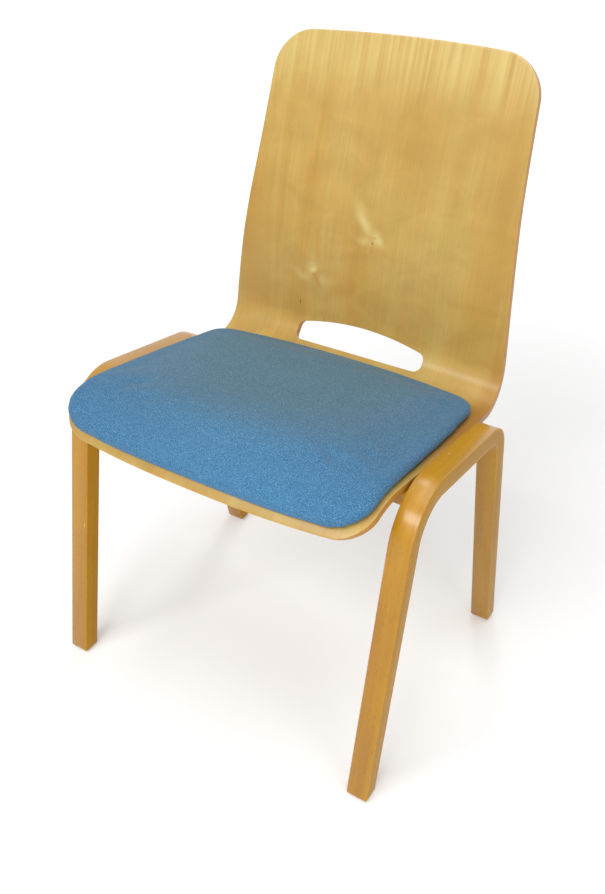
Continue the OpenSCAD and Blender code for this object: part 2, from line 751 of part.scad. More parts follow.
module pad_screws() {
    under = pad_screw_top - ply_t - rest_gap / 2;
    color("silver") placed()
        for (p = pad_screw_places)
            on_rail(p[0], p[1], under)
                socket_screw(pad_screw_d, pad_nut_top - rest_gap - under, pad_head_d, pad_head_h);
}

module pad_nuts() {
    color("silver") placed()
        for (p = pad_screw_places)
            on_rail(p[0], p[1], pad_nut_top)
                flanged_nut(pad_flange_d, pad_barrel_d, board_t - 2 * rest_gap, pad_screw_d + fit);
}

module foot_glides() {
    color("dimgray") placed()
        for (p = foot_places)
            translate(p) difference() {
                cylinder(h = glide_t, d = glide_d);
                translate([0, 0, glide_t / 2]) cylinder(h = glide_t, d = pin_d + fit);
            }
}

module glide_pins() {
    color("silver") placed()
        for (p = foot_places)
            translate(p) translate([0, 0, glide_t / 2])
                cylinder(h = glide_t / 2 + pin_depth, d = pin_d);
}

seat_back_shell();
left_side_frame();
right_side_frame();
front_cross_rail();
rear_cross_rail();
front_rail_dowels();
rear_rail_dowels();
shell_spacers();
shell_bolts();
shell_washers();
shell_nuts();
pad_board();
pad_foam();
pad_cover();
pad_screws();
pad_nuts();
foot_glides();
glide_pins();
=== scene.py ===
# Conference chair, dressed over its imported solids.
# Metres, +Z up, the sitter faces -Y, the floor is at height 0.
import bpy
import bmesh
import math
from mathutils import Matrix, Vector
from mathutils.bvhtree import BVHTree


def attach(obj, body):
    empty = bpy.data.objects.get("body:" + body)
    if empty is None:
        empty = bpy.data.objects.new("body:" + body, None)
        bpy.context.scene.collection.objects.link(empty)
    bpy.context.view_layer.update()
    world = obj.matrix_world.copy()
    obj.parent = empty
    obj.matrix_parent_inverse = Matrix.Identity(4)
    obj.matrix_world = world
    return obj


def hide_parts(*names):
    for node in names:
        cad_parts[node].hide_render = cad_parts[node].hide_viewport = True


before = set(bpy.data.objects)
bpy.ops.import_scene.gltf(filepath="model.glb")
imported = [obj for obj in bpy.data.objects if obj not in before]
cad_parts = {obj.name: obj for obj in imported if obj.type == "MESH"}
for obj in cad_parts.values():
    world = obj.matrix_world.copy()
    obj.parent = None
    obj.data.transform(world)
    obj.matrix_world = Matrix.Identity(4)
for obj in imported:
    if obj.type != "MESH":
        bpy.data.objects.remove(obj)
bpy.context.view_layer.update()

MM = 0.001
FLOOR_TO_MIDDLE = 38.5075 * MM  # how far the chair's own datum lies in front of its middle


# ---------------------------------------------------------------- camera

CAMERA_TURN, CAMERA_RISE, CAMERA_TILT = 31.251, 31.868, 1.764
CAMERA_PLACE = Vector((0.572764, -0.899854 - FLOOR_TO_MIDDLE, 1.021607))
FOCAL_PIXELS, PICTURE_PIXELS = 899.835, 894  # the longer side of the picture
SENSOR = 36


def stand_camera():
    """Puts the camera where the photograph was taken from."""
    turn, rise, tilt = (math.radians(angle) for angle in (CAMERA_TURN, CAMERA_RISE, CAMERA_TILT))
    back = Vector((math.sin(turn) * math.cos(rise), -math.cos(turn) * math.cos(rise), math.sin(rise)))
    level = Vector((math.cos(turn), math.sin(turn), 0))
    upright = back.cross(level)
    right = level * math.cos(tilt) + upright * math.sin(tilt)
    up = upright * math.cos(tilt) - level * math.sin(tilt)
    view = bpy.data.cameras.new("photo_camera")
    view.sensor_width = SENSOR
    view.lens = SENSOR * FOCAL_PIXELS / PICTURE_PIXELS
    view.clip_start = 0.01
    view.clip_end = 50
    stand = bpy.data.objects.new("photo_camera", view)
    bpy.context.scene.collection.objects.link(stand)
    stand.matrix_world = Matrix((
        (right.x, up.x, back.x, CAMERA_PLACE.x),
        (right.y, up.y, back.y, CAMERA_PLACE.y),
        (right.z, up.z, back.z, CAMERA_PLACE.z),
        (0, 0, 0, 1)))
    bpy.context.scene.camera = stand


# ---------------------------------------------------------------- the shell's form

PLY = 10.5 * MM
ROLL_R, ROLL_ANGLE = 100 * MM, 55.0
RAIL_RUN, RAIL_FALL = 267 * MM, 26 * MM
RAIL_SLOPE = math.degrees(math.atan2(RAIL_FALL, RAIL_RUN))
RAIL_LENGTH = math.hypot(RAIL_RUN, RAIL_FALL)
FRONT_CORNER = Vector((-135 * MM - FLOOR_TO_MIDDLE, 450 * MM))
SEAT_SET, SEAT_OVER, SEAT_SINK = 17 * MM, 23 * MM, 2.5 * MM
BEND_R = 45 * MM
LOWER_LEAN, UPPER_LEAN = 3.0, 14.0
LOWER_BACK, BACK_R, UPPER_BACK = 50 * MM, 855 * MM, 190 * MM
SEAT_HALF = 231 * MM
DRAWS = [4 * MM, 0, 4 * MM, 12 * MM, 26 * MM, 36.5 * MM]
FRONT_BOW, TOP_BOW = 13 * MM, 8 * MM
FRONT_ROUND, TOP_ROUND = 43 * MM, 52 * MM
SEAT_CROWN, BACK_HOLLOW = 3.5 * MM, 3 * MM
FRONT_BOW_POWER, REAR_BOW_POWER = 2.6, 2.0


def arc_run(radius, first, last):
    """Length, first heading and last heading of a bend."""
    return radius * math.radians(abs(last - first)), math.radians(first), math.radians(last)


def straight_run(length, heading):
    """The same three values of a straight."""
    return length, math.radians(heading), math.radians(heading)


RUNS = [
    arc_run(ROLL_R, ROLL_ANGLE, -RAIL_SLOPE),
    straight_run(RAIL_LENGTH + SEAT_OVER - SEAT_SET, -RAIL_SLOPE),
    arc_run(BEND_R, -RAIL_SLOPE, 90 - LOWER_LEAN),
    straight_run(LOWER_BACK, 90 - LOWER_LEAN),
    arc_run(BACK_R, 90 - LOWER_LEAN, 90 - UPPER_LEAN),
    straight_run(UPPER_BACK, 90 - UPPER_LEAN),
]


def travel(run, along):
    """Way from the start of a run to a place along it, in the plane of the chair's side."""
    length, first, last = run
    if first == last:
        return Vector((math.cos(first), math.sin(first))) * along
    now = first + (last - first) * along / length
    way = Vector((math.sin(now) - math.sin(first), math.cos(first) - math.cos(now)))
    return way * (length / (last - first))


def run_table():
    """Where each run of the profile begins, and the profile's whole length."""
    slope = math.radians(RAIL_SLOPE)
    flat = FRONT_CORNER + SEAT_SET * Vector((math.cos(slope), -math.sin(slope)))
    flat -= SEAT_SINK * Vector((math.sin(slope), math.cos(slope)))
    start = flat - travel(RUNS[0], RUNS[0][0])
    rows, along = [], 0
    for run in RUNS:
        rows.append((along, start.copy(), run))
        start = start + travel(run, run[0])
        along += run[0]
    return rows, along


TABLE, SHELL_LENGTH = run_table()
ROLL_END = TABLE[1][0]
FLAT_END = TABLE[2][0]
BEND_END = TABLE[3][0]


def profile(along):
    """Point and heading of the shell's top face in the middle plane."""
    row = [r for r in TABLE if r[0] <= max(along, 0)][-1]
    here = along - row[0]
    length, first, last = row[2]
    return row[1] + travel(row[2], here), first + (last - first) * here / length


def smooth_through(places, values, where):
    """Value of a smooth curve through a few values, without overshoot."""
    def grade(i):
        return (values[i + 1] - values[i]) / (places[i + 1] - places[i])

    def knot(i):
        if i == 0:
            return grade(0)
        if i == len(places) - 1:
            return grade(i - 1)
        a, b = grade(i - 1), grade(i)
        return 0 if a * b <= 0 else 2 * a * b / (a + b)

    i = 0
    while i < len(places) - 2 and where >= places[i + 1]:
        i += 1
    w = places[i + 1] - places[i]
    t = (where - places[i]) / w
    return ((1 + 2 * t) * (1 - t) ** 2 * values[i] + t * (1 - t) ** 2 * w * knot(i)
            + t * t * (3 - 2 * t) * values[i + 1] - t * t * (1 - t) * w * knot(i + 1))


BACK_LENGTH = SHELL_LENGTH - BEND_END
WIDTH_PLACES = [0, (ROLL_END + FLAT_END) / 2, (FLAT_END + BEND_END) / 2,
                BEND_END + 0.22 * BACK_LENGTH, BEND_END + 0.6 * BACK_LENGTH, SHELL_LENGTH]
WIDTHS = [SEAT_HALF - draw for draw in DRAWS]
FORM_PLACES = [0, ROLL_END, FLAT_END, BEND_END, BEND_END + 0.4 * BACK_LENGTH, SHELL_LENGTH]
FORM_RISES = [-SEAT_CROWN, -SEAT_CROWN, -SEAT_CROWN, BACK_HOLLOW, BACK_HOLLOW, BACK_HOLLOW]


def half_width(along):
    """Half the shell's width at a place along it."""
    return smooth_through(WIDTH_PLACES, WIDTHS, along)


def over_shell(x, along, height):
    """Point over the shell: x across, along from its front edge, height above its top face."""
    point, heading = profile(along)
    rise = smooth_through(FORM_PLACES, FORM_RISES, along) * (x / half_width(along)) ** 2
    k = height + rise
    return Vector((x, point[0] - math.sin(heading) * k, point[1] + math.cos(heading) * k))


def corner_cut(d, r):
    """How far a rounded corner draws a row in, a way d from the sheet's end."""
    return 0 if d >= r else r - math.sqrt(max(r * r - (r - d) ** 2, 0))


def bowed(x, half, along, first, last, front_bow, rear_bow):
    """Place along the sheet of a row that bows with the sheet's ends."""
    t = (along - first) / (last - first)
    k = min(abs(x) / half, 1)
    return along + front_bow * k ** FRONT_BOW_POWER * (1 - t) - rear_bow * k ** REAR_BOW_POWER * t


def corner_places(r, n):
    """Rows over a rounded corner, closer together towards the end."""
    return [r * (1 - math.cos(math.radians(90 * i / n))) for i in range(n + 1)]


def even_places(a, b, step):
    """Rows from a up to b, without b, about a step apart."""
    n = max(1, round((b - a) / step))
    return [a + (b - a) * i / n for i in range(n)]


def lay_rows(bm, rows, halves, columns):
    """Shapes a flat grid into rows of given places and half widths."""
    bmesh.ops.create_grid(bm, x_segments=columns, y_segments=len(rows) - 1, size=1)
    for v in bm.verts:
        i = round((v.co.y + 1) / 2 * (len(rows) - 1))
        v.co = Vector((v.co.x * halves[i], rows[i], 0))
    bmesh.ops.recalc_face_normals(bm, faces=bm.faces[:])
    if sum(f.normal.z for f in bm.faces) < 0:
        bmesh.ops.reverse_faces(bm, faces=bm.faces[:])


CUT_CLOSE = 1e-7  # nearer to a cut than this, a point lies on it
MERGE_CLOSE = 1e-6


def with_borders(faces):
    """The faces with their edges and points, as the cutting operator takes them."""
    geom = set(faces)
    for f in faces:
        geom.update(f.edges)
        geom.update(f.verts)
    return list(geom)


def cut_window(bm, outline):
    """Cuts a convex window, given as flat points anticlockwise, out of a flat sheet."""
    n = len(outline)
    for i in range(n):
        p, q = Vector(outline[i]), Vector(outline[(i + 1) % n])
        low = Vector((min(p.x, q.x), min(p.y, q.y))) - Vector((MM, MM)) * 0.01
        high = Vector((max(p.x, q.x), max(p.y, q.y))) + Vector((MM, MM)) * 0.01
        near = [f for f in bm.faces
                if max(v.co.x for v in f.verts) > low.x and min(v.co.x for v in f.verts) < high.x
                and max(v.co.y for v in f.verts) > low.y and min(v.co.y for v in f.verts) < high.y]
        way = (q - p).normalized()
        bmesh.ops.bisect_plane(bm, geom=with_borders(near), dist=CUT_CLOSE,
                               plane_co=(p.x, p.y, 0), plane_no=(way.y, -way.x, 0))

    def inside(point):
        return all((Vector(outline[(i + 1) % n]) - Vector(outline[i])).cross(
            Vector((point.x, point.y)) - Vector(outline[i])) > 0 for i in range(n))

    gone = [f for f in bm.faces if inside(f.calc_center_median())]
    bmesh.ops.delete(bm, geom=gone, context="FACES")


# a field of the flat sheet that holds the slot and no edge but its own
SLOT_FIELD_HALF, SLOT_FIELD_FIRST, SLOT_FIELD_LAST = 130 * MM, FLAT_END - 20 * MM, BEND_END + 30 * MM


def in_window(edge):
    """True for the edges of the hand slot, which lie well inside the sheet."""
    mid = (edge.verts[0].co + edge.verts[1].co) / 2
    return abs(mid.x) < SLOT_FIELD_HALF and SLOT_FIELD_FIRST < mid.y < SLOT_FIELD_LAST


def grow_rim(bm, edges, step, rise=0.0):
    """Carries a loop of boundary edges out by a step and up by a rise, and gives the new loop."""
    away = {}
    for e in edges:
        inner = e.link_faces[0].calc_center_median()
        a, b = (v.co for v in e.verts)
        way = Vector((b.y - a.y, a.x - b.x, 0)).normalized()
        if way.dot(inner - a) > 0:
            way = -way
        for v in e.verts:
            away.setdefault(v, []).append(way)
    out = bmesh.ops.extrude_edge_only(bm, edges=edges)["geom"]
    fresh = [g for g in out if isinstance(g, bmesh.types.BMVert)]
    at = {tuple(v.co): ways for v, ways in away.items()}
    for v in fresh:
        one, two = at[tuple(v.co)]
        v.co += (one + two) * (step / (1 + one.dot(two))) + Vector((0, 0, rise))
    return far_loop(out, set(fresh))


def far_loop(out, fresh):
    """The edges of an extrusion that lie between its new points."""
    return [g for g in out if isinstance(g, bmesh.types.BMEdge) and all(v in fresh for v in g.verts)]


def rim_edges(bm):
    """Edges between the flat faces of a plate and its walls."""
    return [e for e in bm.edges if len(e.link_faces) == 2 and e.calc_face_angle(0) > math.radians(60)]


SLOT_SIDE, SLOT_HEIGHT, SLOT_DROP = 120 * MM, 40 * MM, 11 * MM
SLOT_ROUND, SLOT_SET = 11 * MM, 20 * MM
SLOT_CORNER_STEPS, SLOT_ARCH_STEPS = 6, 24


def slot_outline(grow):
    """Outline of the hand slot on the flat sheet, grown by a margin."""
    half = SEAT_HALF - DRAWS[2] - SLOT_SIDE
    arch_half = half - SLOT_ROUND
    arch_r = (arch_half ** 2 + SLOT_DROP ** 2) / (2 * SLOT_DROP)
    rise = math.sqrt((arch_r - SLOT_ROUND) ** 2 - arch_half ** 2)
    low, high = SLOT_ROUND, SLOT_HEIGHT - arch_r + rise
    lean = math.degrees(math.atan2(rise, arch_half))

    # the slot is sawn square to its chord, so heights become lengths along the bend
    def on_sheet(h):
        return BEND_END - SLOT_SET + BEND_R * math.asin((h - SLOT_HEIGHT / 2) / BEND_R)

    def arc(x, z, radius, first, last, steps):
        turns = [math.radians(first + (last - first) * i / steps) for i in range(steps + 1)]
        return [(x + radius * math.cos(a), z + radius * math.sin(a)) for a in turns]

    r, n = SLOT_ROUND + grow, SLOT_CORNER_STEPS
    arch = arc(0, SLOT_HEIGHT - arch_r, arch_r + grow, lean, 180 - lean, SLOT_ARCH_STEPS)
    points = (arc(-arch_half, low, r, 180, 270, n) + arc(arch_half, low, r, 270, 360, n)
              + arc(arch_half, high, r, 0, lean, n) + arch[1:-1]
              + arc(-arch_half, high, r, 180 - lean, 180, n))
    return [(x, on_sheet(z)) for x, z in points]


def new_piece(name, bm):
    """Makes an object of a finished mesh, at the origin."""
    mesh = bpy.data.meshes.new(name)
    bm.to_mesh(mesh)
    bm.free()
    piece = bpy.data.objects.new(name, mesh)
    bpy.context.scene.collection.objects.link(piece)
    return piece


def ease_shading(piece, angle):
    """Smooth shading that stays sharp over edges steeper than an angle."""
    piece.data.shade_smooth()
    piece.data.set_sharp_from_angle(angle=math.radians(angle))


RIM_BAND, WINDOW_BAND = 3 * MM, 2 * MM
RIM_EASE = 0.9 * MM
SHELL_COLUMNS, SHELL_CORNER_ROWS = 64, 14
ROLL_STEP, SEAT_STEP, BEND_STEP, BACK_STEP = 6 * MM, 12 * MM, 2.4 * MM, 7 * MM


def mould_shell():
    """Presses the seat and back from one flat sheet: outline, slot, thickness, eased rim, bends."""
    inner_front, inner_top = FRONT_ROUND - RIM_BAND, TOP_ROUND - RIM_BAND
    first, last = RIM_BAND, SHELL_LENGTH - RIM_BAND
    rows = [first + d for d in corner_places(inner_front, SHELL_CORNER_ROWS)]
    rows += even_places(FRONT_ROUND, ROLL_END, ROLL_STEP)[1:]
    rows += even_places(ROLL_END, FLAT_END, SEAT_STEP)
    rows += even_places(FLAT_END, BEND_END, BEND_STEP)
    rows += even_places(BEND_END, SHELL_LENGTH - TOP_ROUND, BACK_STEP)
    rows += [last - d for d in reversed(corner_places(inner_top, SHELL_CORNER_ROWS))]
    cuts = [max(corner_cut(s - first, inner_front), corner_cut(last - s, inner_top)) for s in rows]
    halves = [half_width(s) - RIM_BAND - cut for s, cut in zip(rows, cuts)]
    bm = bmesh.new()
    lay_rows(bm, rows, halves, SHELL_COLUMNS)
    cut_window(bm, slot_outline(WINDOW_BAND))
    outer = [e for e in bm.edges if e.is_boundary and not in_window(e)]
    window = [e for e in bm.edges if e.is_boundary and in_window(e)]
    grow_rim(bm, outer, RIM_BAND)
    grow_rim(bm, window, WINDOW_BAND)
    top = bmesh.ops.extrude_face_region(bm, geom=bm.faces[:], use_keep_orig=True)
    fresh = [g for g in top["geom"] if isinstance(g, bmesh.types.BMVert)]
    bmesh.ops.translate(bm, verts=fresh, vec=(0, 0, PLY))
    bmesh.ops.recalc_face_normals(bm, faces=bm.faces[:])
    bmesh.ops.bevel(bm, geom=rim_edges(bm), offset=RIM_EASE, segments=3, profile=0.5,
                    affect="EDGES", material=-1, clamp_overlap=True)
    # heights of the flat plate: 0 at the underside, PLY at the top face
    sheet = bm.verts.layers.float_vector.new("sheet")
    for v in bm.verts:
        x, s, h = v.co
        half = half_width(min(max(s, 0), SHELL_LENGTH))
        along = bowed(x, half, s, 0, SHELL_LENGTH, FRONT_BOW, TOP_BOW)
        v[sheet] = Vector((x, along, h))
        v.co = over_shell(x, along, h - PLY)
    bmesh.ops.recalc_face_normals(bm, faces=bm.faces[:])
    piece = new_piece("moulded_shell", bm)
    ease_shading(piece, 50)
    return piece


# ---------------------------------------------------------------- the bent side frames

FRAME_W, FRAME_T = 30 * MM, 25 * MM
SIDE_GAP = 2 * MM
INNER_HALF = SEAT_HALF + SIDE_GAP
FRONT_BEND_R, REAR_BEND_R = 76 * MM, 57 * MM
REAR_CORNER = FRONT_CORNER + Vector((RAIL_RUN, -RAIL_FALL))
FRONT_SPLAY, REAR_SPLAY = 67 * MM, 110 * MM
FRONT_FOOT = Vector((FRONT_CORNER.x - FRONT_SPLAY, 0))
REAR_FOOT = Vector((REAR_CORNER.x + REAR_SPLAY, 0))
GLIDE_T = 1.5 * MM
FOOT_ROUND, FOOT_STEPS = 5 * MM, 5
FRAME_EASE = 1.2 * MM
BEND_STEPS = 28
CUT_SIDE_FACING = 0.85  # a face that looks this much to the side shows the laminate's layers
LEG_SPARE = 20 * MM  # drawn past the floor, and cut off again


def bend_of(before, corner, after, r):
    """Centre, first point, last point and turn of a bend that rounds a corner."""
    a, b = (before - corner).normalized(), (after - corner).normalized()
    angle = a.angle(b)
    centre = corner + (a + b).normalized() * (r / math.sin(angle / 2))
    reach = r / math.tan(angle / 2)
    return centre, corner + a * reach, corner + b * reach, math.pi - angle


FRONT_BEND = bend_of(FRONT_FOOT, FRONT_CORNER, REAR_CORNER, FRONT_BEND_R)
REAR_BEND = bend_of(FRONT_CORNER, REAR_CORNER, REAR_FOOT, REAR_BEND_R)
FRAME_MIDDLE = (FRONT_CORNER.x + REAR_CORNER.x) / 2


def along_frame(y, z):
    """Length along a side frame from its front foot, and depth under its outer face."""
    p = Vector((y, z))
    rail_way = (REAR_CORNER - FRONT_CORNER).normalized()
    up_way = (FRONT_CORNER - FRONT_FOOT).normalized()
    down_way = (REAR_FOOT - REAR_CORNER).normalized()
    first = (FRONT_BEND[1] - FRONT_FOOT).length
    second = first + FRONT_BEND[3] * (FRONT_BEND_R - FRAME_T / 2)
    third = second + (REAR_BEND[1] - FRONT_BEND[2]).length
    fourth = third + REAR_BEND[3] * (REAR_BEND_R - FRAME_T / 2)

    def under(way, corner):
        return (p - corner).dot(Vector((way.y, -way.x)))

    def in_bend(bend, r, before):
        spoke = p - bend[0]
        return before + (bend[1] - bend[0]).angle(spoke) * (r - FRAME_T / 2), r - spoke.length

    if p.x < FRAME_MIDDLE:
        if (p - FRONT_BEND[1]).dot(up_way) <= 0:
            return (p - FRONT_FOOT).dot(up_way), under(up_way, FRONT_FOOT)
        if (p - FRONT_BEND[2]).dot(rail_way) < 0:
            return in_bend(FRONT_BEND, FRONT_BEND_R, first)
    elif (p - REAR_BEND[1]).dot(rail_way) > 0:
        if (p - REAR_BEND[2]).dot(down_way) < 0:
            return in_bend(REAR_BEND, REAR_BEND_R, third)
        return fourth + (p - REAR_BEND[2]).dot(down_way), under(down_way, REAR_CORNER)
    return second + (p - FRONT_BEND[2]).dot(rail_way), under(rail_way, FRONT_CORNER)


def push_on(bm, edges, way):
    """Draws a loop of edges out along a straight and gives the loop at its end."""
    out = bmesh.ops.extrude_edge_only(bm, edges=edges)["geom"]
    verts = [g for g in out if isinstance(g, bmesh.types.BMVert)]
    bmesh.ops.translate(bm, verts=verts, vec=(0, way[0], way[1]))
    return far_loop(out, set(verts))


def swing_on(bm, edges, bend):
    """Carries a loop of edges round a bend and gives the loop at its end."""
    verts = list({v for e in edges for v in e.verts})
    out = bmesh.ops.spin(bm, geom=edges + verts, cent=(0, bend[0].x, bend[0].y), axis=(1, 0, 0),
                         dvec=(0, 0, 0), angle=-bend[3], steps=BEND_STEPS,
                         use_merge=False, use_duplicate=False)
    return [g for g in out["geom_last"] if isinstance(g, bmesh.types.BMEdge)]


def round_foot(bm, rear):
    """Cuts a foot level and rounds it over its glide."""
    side = [f for f in bm.faces if (f.calc_center_median().y > FRAME_MIDDLE) == rear]
    bmesh.ops.bisect_plane(bm, geom=with_borders(side), dist=CUT_CLOSE, clear_outer=True,
                           plane_co=(0, 0, GLIDE_T + FOOT_ROUND), plane_no=(0, 0, -1))
    loop = [e for e in bm.edges if len(e.link_faces) == 1 and (e.verts[0].co.y > FRAME_MIDDLE) == rear]
    leg = (REAR_CORNER - REAR_FOOT) if rear else (FRONT_CORNER - FRONT_FOOT)
    lean = leg.x / leg.y
    done = (0, 0)
    for i in range(1, FOOT_STEPS + 1):
        a = math.radians(90 * i / FOOT_STEPS)
        inset, drop = FOOT_ROUND * (1 - math.cos(a)), FOOT_ROUND * math.sin(a)
        loop = push_on(bm, loop, (-lean * (drop - done[1]), -(drop - done[1])))
        verts = list({v for e in loop for v in e.verts})
        for k in (0, 1):
            # an exact sum, because the points come in no fixed order
            mid = math.fsum(v.co[k] for v in verts) / len(verts)
            size = max(abs(v.co[k] - mid) for v in verts)
            for v in verts:
                v.co[k] = mid + (v.co[k] - mid) * (size - (inset - done[0])) / size
        done = (inset, drop)
    bmesh.ops.edgeloop_fill(bm, edges=loop)


def bend_side_frame(name, side):
    """Draws the frame's section up the front leg, along the rail and down the rear leg."""
    bm = bmesh.new()
    bmesh.ops.create_grid(bm, x_segments=1, y_segments=1, size=0.5)
    bmesh.ops.scale(bm, vec=(FRAME_W, FRAME_T, 1), verts=bm.verts)
    bmesh.ops.bevel(bm, geom=bm.verts[:], offset=FRAME_EASE, segments=3, profile=0.5,
                    affect="VERTICES", material=-1)
    bmesh.ops.delete(bm, geom=bm.faces[:], context="FACES_ONLY")
    up = (FRONT_CORNER - FRONT_FOOT).normalized()
    inward = Vector((up.y, -up.x))
    start = FRONT_FOOT - up * LEG_SPARE + inward * FRAME_T / 2
    for v in bm.verts:
        p = start + inward * v.co.y
        v.co = Vector((side * (INNER_HALF + FRAME_W / 2) + v.co.x, p.x, p.y))
    loop = push_on(bm, bm.edges[:], FRONT_BEND[1] - FRONT_FOOT + up * LEG_SPARE)
    loop = swing_on(bm, loop, FRONT_BEND)
    loop = push_on(bm, loop, REAR_BEND[1] - FRONT_BEND[2])
    loop = swing_on(bm, loop, REAR_BEND)
    down = (REAR_FOOT - REAR_CORNER).normalized()
    push_on(bm, loop, REAR_FOOT - REAR_BEND[2] + down * LEG_SPARE)
    round_foot(bm, False)
    round_foot(bm, True)
    bmesh.ops.remove_doubles(bm, verts=bm.verts[:], dist=MERGE_CLOSE)
    bmesh.ops.recalc_face_normals(bm, faces=bm.faces[:])
    laid = bm.verts.layers.float_vector.new("laid")
    for v in bm.verts:
        along, depth = along_frame(v.co.y, v.co.z)
        v[laid] = Vector((v.co.x, along, depth))
    piece = new_piece(name, bm)
    ease_shading(piece, 40)
    return piece


# ---------------------------------------------------------------- the cross rails

CROSS_W, CROSS_T, CROSS_GAP = 28 * MM, 17 * MM, 0.5 * MM
CROSS_TOP = -(SEAT_SINK + SEAT_CROWN + PLY + CROSS_GAP)
FRONT_CROSS, REAR_CROSS = 45 * MM, RAIL_LENGTH - 14 * MM  # behind the frame's front corner


def plane_cross_rail(name, behind):
    """A straight rail between the two side frames, with eased edges."""
    bm = bmesh.new()
    bmesh.ops.create_cube(bm, size=1)
    bmesh.ops.scale(bm, vec=(2 * INNER_HALF, CROSS_W, CROSS_T), verts=bm.verts)
    long_edges = [e for e in bm.edges if abs(e.verts[0].co.x - e.verts[1].co.x) > INNER_HALF]
    bmesh.ops.bevel(bm, geom=long_edges, offset=FRAME_EASE, segments=3, profile=0.5,
                    affect="EDGES", material=-1)
    laid = bm.verts.layers.float_vector.new("laid")
    for v in bm.verts:
        v[laid] = Vector((v.co.y, v.co.x + behind, v.co.z))
    slope = math.radians(RAIL_SLOPE)
    bmesh.ops.translate(bm, verts=bm.verts, vec=(0, behind, CROSS_TOP - CROSS_T / 2))
    bmesh.ops.rotate(bm, verts=bm.verts, cent=(0, 0, 0), matrix=Matrix.Rotation(-slope, 3, "X"))
    bmesh.ops.translate(bm, verts=bm.verts, vec=(0, FRONT_CORNER.x, FRONT_CORNER.y))
    piece = new_piece(name, bm)
    ease_shading(piece, 40)
    return piece


# ---------------------------------------------------------------- the seat pad

PAD_T, PAD_CROWN = 16 * MM, 5 * MM
PAD_FIRST, PAD_LAST = 12 * MM, FLAT_END + 6 * MM
PAD_FRONT_BOW, PAD_REAR_BOW = 12 * MM, 16 * MM
PAD_FRONT_ROUND, PAD_REAR_ROUND = 44 * MM, 28 * MM
PAD_FRONT_DRAW, PAD_REAR_DRAW = 4.5 * MM, 15 * MM
PAD_GAP = 0.3 * MM
PAD_ASIDE = 3 * MM  # the pad lies a little off the middle
PAD_EDGE, PAD_EDGE_STEPS = 9 * MM, 8
PAD_COLUMNS, PAD_FRONT_ROWS, PAD_REAR_ROWS, PAD_STEP = 44, 10, 7, 8 * MM
PAD_EDGE_POWER = 1.25  # over 1, the edge is fullest below its middle
SOFT_CROWN, SOFT_SPREAD = 0.3 * PAD_CROWN, 1.6 * MM  # the start of the cloth simulation
SWELL_VOXEL, SWELL_PRESSURE, SWELL_FRAMES, SWELL_MOST = 5 * MM, 4, 20, 6 * MM
COVER_QUALITY, COVER_MASS = 6, 0.3


def pad_half(along):
    """Half the pad's width at a place along the sheet."""
    t = (along - PAD_FIRST) / (PAD_LAST - PAD_FIRST)
    return SEAT_HALF - PAD_FRONT_DRAW - (PAD_REAR_DRAW - PAD_FRONT_DRAW) * max(t, 0) ** 3


def fold_pad(crown, spread):
    """The pad's cover: a flat cushion with a full round edge, crowned, then laid over the seat."""
    e = PAD_EDGE
    first, last = PAD_FIRST + e, PAD_LAST - e
    front_r, rear_r = PAD_FRONT_ROUND - e, PAD_REAR_ROUND - e
    rows = [first + d for d in corner_places(front_r, PAD_FRONT_ROWS)]
    rows += even_places(first + front_r, last - rear_r, PAD_STEP)[1:]
    rows += [last - d for d in reversed(corner_places(rear_r, PAD_REAR_ROWS))]
    halves = [pad_half(s) - e - max(corner_cut(s - first, front_r), corner_cut(last - s, rear_r))
              for s in rows]
    bm = bmesh.new()
    lay_rows(bm, rows, halves, PAD_COLUMNS)
    bmesh.ops.translate(bm, verts=bm.verts, vec=(0, 0, PAD_T))
    loop = [edge for edge in bm.edges if edge.is_boundary]
    for i in range(PAD_EDGE_STEPS):
        a, b = (math.radians(90 * k / PAD_EDGE_STEPS) for k in (i, i + 1))
        out, up = (e + spread) * (math.sin(b) - math.sin(a)), PAD_T / 2 * (math.cos(b) - math.cos(a))
        loop = grow_rim(bm, loop, out, up)
    bmesh.ops.mirror(bm, geom=bm.verts[:] + bm.edges[:] + bm.faces[:], axis="Z",
                     matrix=Matrix.Translation((0, 0, -PAD_T / 2)), merge_dist=MERGE_CLOSE)
    bmesh.ops.recalc_face_normals(bm, faces=bm.faces[:])
    for v in bm.verts:
        x, s, h = v.co
        half = pad_half(s)
        along = bowed(x, half, s, PAD_FIRST, PAD_LAST, PAD_FRONT_BOW, PAD_REAR_BOW)
        t = 2 * (s - PAD_FIRST) / (PAD_LAST - PAD_FIRST) - 1
        dome = max(0, 1 - (x / half) ** 2) * max(0, 1 - t * t)
        lift = crown * dome * max(0, h / PAD_T * 2 - 1)
        low = PAD_T * max(h / PAD_T, 0) ** PAD_EDGE_POWER
        v.co = over_shell(x - PAD_ASIDE, along, PAD_GAP + low + lift)
    bmesh.ops.recalc_face_normals(bm, faces=bm.faces[:])
    piece = new_piece("seat_pad", bm)
    piece.data.shade_smooth()
    return piece


